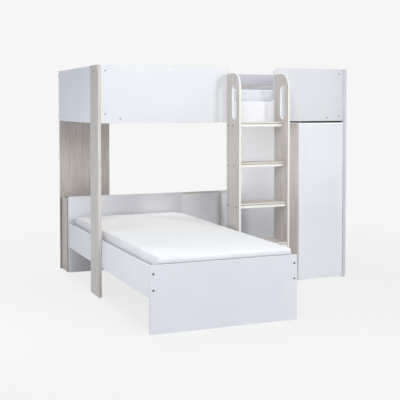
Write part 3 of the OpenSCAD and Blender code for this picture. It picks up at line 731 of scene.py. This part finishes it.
def skin(bm, rings):
    """Joins rings of points into one closed, smooth form."""
    for lower, upper in zip(rings, rings[1:]):
        for k, vert in enumerate(lower):
            after = (k + 1) % len(lower)
            bm.faces.new((vert, lower[after], upper[after], upper[k]))
    bm.faces.new(list(reversed(rings[0])))
    bm.faces.new(rings[-1])


def smooth_out(bm):
    bmesh.ops.recalc_face_normals(bm, faces=bm.faces)
    for face in bm.faces:
        face.smooth = True


def cover_of(normal):
    """A cushion's surfaces: 0 on top and behind, 1 to the left and right, 2 in front."""
    if abs(normal.x) > TURNED_SIDE:
        return 1
    return 2 if normal.y < -TURNED_FRONT else 0


def mattress_rings(bm, node, radii, on_lower_bed):
    """A ring of points for each level of a mattress, and its corners' middles in a ring."""
    low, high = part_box(node)
    centre = (low + high) / 2
    if on_lower_bed:
        centre.x += LOWER_SHIFT
    half = Vector(((high.x - low.x) / 2, (high.y - low.y) / 2))
    height = high.z - low.z - CROWN
    counts = [max(2, round(2 * length / STEP_LENGTH)) for length in (half.x, half.y) * 2]
    rings = []
    for inset, z, over, drop in mattress_levels(height):
        corners = [max(radius - inset, LEAST_CORNER) for radius in radii]
        ring = []
        for point in rounded_ring(half - Vector((inset, inset)), corners, counts):
            sunk = 0.0
            if on_lower_bed:
                point, sunk = softened(point, half, z / height, over, drop)
            place = Vector((centre.x + point.x, centre.y + point.y, low.z + z - sunk))
            if z > height:
                fade = min(1.0, (z - height) / (CREASE_FADE * CROWN))
                place.z += (cover_crease(place) - CREASE_SINK * CREASE) * fade
            ring.append(bm.verts.new(place))
        rings.append(ring)
    middles = [sum(counts[:corner]) + corner * CORNER_STEPS + CORNER_STEPS // 2
               for corner in range(len(radii))]
    return rings, middles


def make_mattress(node, radii, covers, on_lower_bed):
    """A mattress with a seam up each corner. covers are its surfaces, as cover_of counts them."""
    bm = bmesh.new()
    rings, middles = mattress_rings(bm, node, radii, on_lower_bed)
    skin(bm, rings)
    smooth_out(bm)
    seams = [[ring[middle].co.copy() for ring in rings[SEAM_LEVELS]] for middle in middles]
    bm.normal_update()
    for face in bm.faces:
        face.material_index = cover_of(face.normal)
    piece = new_piece(node + "_cushion", bm, covers)
    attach(piece, body_of_node(node))
    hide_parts(node)
    seam_piece = make_seams(node + "_seams", seams)
    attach(seam_piece, body_of_node(node))


def make_seams(name, paths):
    """Thin raised seams along the given paths, which climb from level to level."""
    bm = bmesh.new()
    turns = [2 * math.pi * k / SEAM_SIDES for k in range(SEAM_SIDES)]
    for path in paths:
        rings = []
        for index, place in enumerate(path):
            before, after = path[max(index - 1, 0)], path[min(index + 1, len(path) - 1)]
            along = (after - before).normalized()
            across = along.orthogonal().normalized()
            other = along.cross(across)
            around = [across * math.cos(t) + other * math.sin(t) for t in turns]
            rings.append([bm.verts.new(place + SEAM_RADIUS * out) for out in around])
        skin(bm, rings)
    smooth_out(bm)
    return new_piece(name, bm, [PIPING])


# painted shade all over the upper mattress; on the lower one, painted shade on its sides and its
# front
make_mattress("upper_mattress", [FOOT_CORNER] * 4, [SHADED_COVER] * 3, on_lower_bed=False)
make_mattress("lower_mattress", [HEAD_CORNER, HEAD_CORNER, FOOT_CORNER, FOOT_CORNER],
              [COVER, SHADED_COVER, COVER_FRONT], on_lower_bed=True)


# ---- floor and world: a pale background that keeps the bed's shadow ----

FLOOR_SIZE = 60.0
FLOOR_DROP = 0.5 * MM        # the floor lies this far below the bed's feet
FLOOR_COLOUR = srgb(240, 240, 240)
PALE = srgb(246, 246, 246)
FLOOR_GLOW = (0.84, 1.0)     # share of the glow under the bed, and away from it
GLOW_REACH = (1.3, 4.0)      # metres from the bed's middle between which it changes
AMBIENT_COLOUR = (0.93, 0.96, 1.0, 1.0)
AMBIENT_STRENGTH = 0.14


def pale_where_seen(nodes, lit, amount):
    """Mixes a plain pale glow into what the camera and reflections see, over the lit shader."""
    path = nodes.add("ShaderNodeLightPath").outputs
    seen = nodes.math("MAXIMUM", path["Is Camera Ray"], path["Is Glossy Ray"])
    seen = nodes.math("MAXIMUM", seen, path["Is Transmission Ray"])
    glow = nodes.add("ShaderNodeEmission")
    nodes.feed(PALE, glow.inputs["Color"])
    return nodes.mix_shaders(nodes.math("MULTIPLY", seen, amount), lit, glow.outputs[0])


def glow_by_distance(nodes):
    """The floor's shadows fade into the pale background with distance from the bed."""
    place = nodes.add("ShaderNodeTexCoord").outputs["Object"]
    length = nodes.add("ShaderNodeVectorMath", operation="LENGTH")
    nodes.feed(place, length.inputs[0])
    fade = nodes.add("ShaderNodeMapRange", interpolation_type="SMOOTHSTEP")
    for socket, value in (("Value", length.outputs["Value"]),
                          ("From Min", GLOW_REACH[0]), ("From Max", GLOW_REACH[1]),
                          ("To Min", FLOOR_GLOW[0]), ("To Max", FLOOR_GLOW[1])):
        nodes.feed(value, fade.inputs[socket])
    return fade.outputs["Result"]


def make_floor():
    material = bpy.data.materials.new("pale_floor")
    material.use_nodes = True
    nodes = Nodes(material.node_tree)
    nodes.tree.nodes.clear()
    diffuse = nodes.add("ShaderNodeBsdfDiffuse")
    nodes.feed(FLOOR_COLOUR, diffuse.inputs["Color"])
    surface = pale_where_seen(nodes, diffuse.outputs[0], glow_by_distance(nodes))
    nodes.feed(surface, nodes.add("ShaderNodeOutputMaterial").inputs["Surface"])
    mesh = bpy.data.meshes.new("floor")
    half = FLOOR_SIZE / 2
    corners = [(-half, -half, 0), (half, -half, 0), (half, half, 0), (-half, half, 0)]
    mesh.from_pydata(corners, [], [(0, 1, 2, 3)])
    mesh.materials.append(material)
    floor = bpy.data.objects.new("floor", mesh)
    floor.location.z = -FLOOR_DROP
    bpy.context.scene.collection.objects.link(floor)


def make_world():
    world = bpy.data.worlds.new("studio")
    bpy.context.scene.world = world
    world.use_nodes = True
    nodes = Nodes(world.node_tree)
    nodes.tree.nodes.clear()
    ambient = nodes.add("ShaderNodeBackground")
    nodes.feed(AMBIENT_COLOUR, ambient.inputs["Color"])
    nodes.feed(AMBIENT_STRENGTH, ambient.inputs["Strength"])
    pale = nodes.add("ShaderNodeBackground")
    nodes.feed(PALE, pale.inputs["Color"])
    seen = nodes.add("ShaderNodeLightPath").outputs["Is Camera Ray"]
    surface = nodes.mix_shaders(seen, ambient.outputs[0], pale.outputs[0])
    nodes.feed(surface, nodes.add("ShaderNodeOutputWorld").inputs["Surface"])


# ---- lamps and camera ----

LAMP_AIM = Vector((0, 0, 0.8))


def soft_lamp(name, place, size, watts, colour=(1.0, 1.0, 1.0)):
    """A soft lamp that points at the bed. size is its width and height."""
    data = bpy.data.lights.new(name, "AREA")
    data.shape = "RECTANGLE"
    data.size, data.size_y = size
    data.energy = watts
    data.color = colour
    lamp = bpy.data.objects.new(name, data)
    lamp.location = place
    lamp.visible_camera = False
    lamp.rotation_euler = (LAMP_AIM - Vector(place)).to_track_quat("-Z", "Y").to_euler()
    bpy.context.scene.collection.objects.link(lamp)


def make_camera():
    data = bpy.data.cameras.new("camera")
    data.sensor_width = SENSOR_WIDTH
    data.lens = CAMERA_LENS
    data.shift_y = CAMERA_SHIFT_Y
    camera = bpy.data.objects.new("camera", data)
    camera.location = CAMERA_AT
    camera.rotation_euler = (math.radians(90 + CAMERA_PITCH), 0, math.radians(-CAMERA_YAW))
    bpy.context.scene.collection.objects.link(camera)
    bpy.context.scene.camera = camera


make_floor()
make_world()
soft_lamp("front_left", (-3.0, -5.5, 3.6), size=(2.4, 2.4), watts=42)
soft_lamp("front_right", (2.3, -5.6, 2.4), size=(0.9, 0.9), watts=91)
soft_lamp("right", (6.0, -1.5, 2.0), size=(2.4, 2.4), watts=56, colour=(0.96, 0.98, 1.0))
soft_lamp("overhead", (-0.8, -2.4, 3.4), size=(1.6, 1.6), watts=62)
soft_lamp("behind_above", (-0.5, 2.2, 4.2), size=(2.6, 1.8), watts=106)
soft_lamp("low_left", (-2.6, -0.8, 0.7), size=(1.2, 1.0), watts=11, colour=(0.92, 0.96, 1.0))
soft_lamp("behind", (-1.2, 4.4, 1.4), size=(4.4, 2.4), watts=40, colour=(0.97, 0.98, 1.0))
soft_lamp("under_bunk", (-0.22, 1.08, 0.86), size=(0.75, 0.45), watts=2.9,
          colour=(0.95, 0.98, 1.0))
make_camera()
bpy.context.scene.view_settings.view_transform = "Standard"
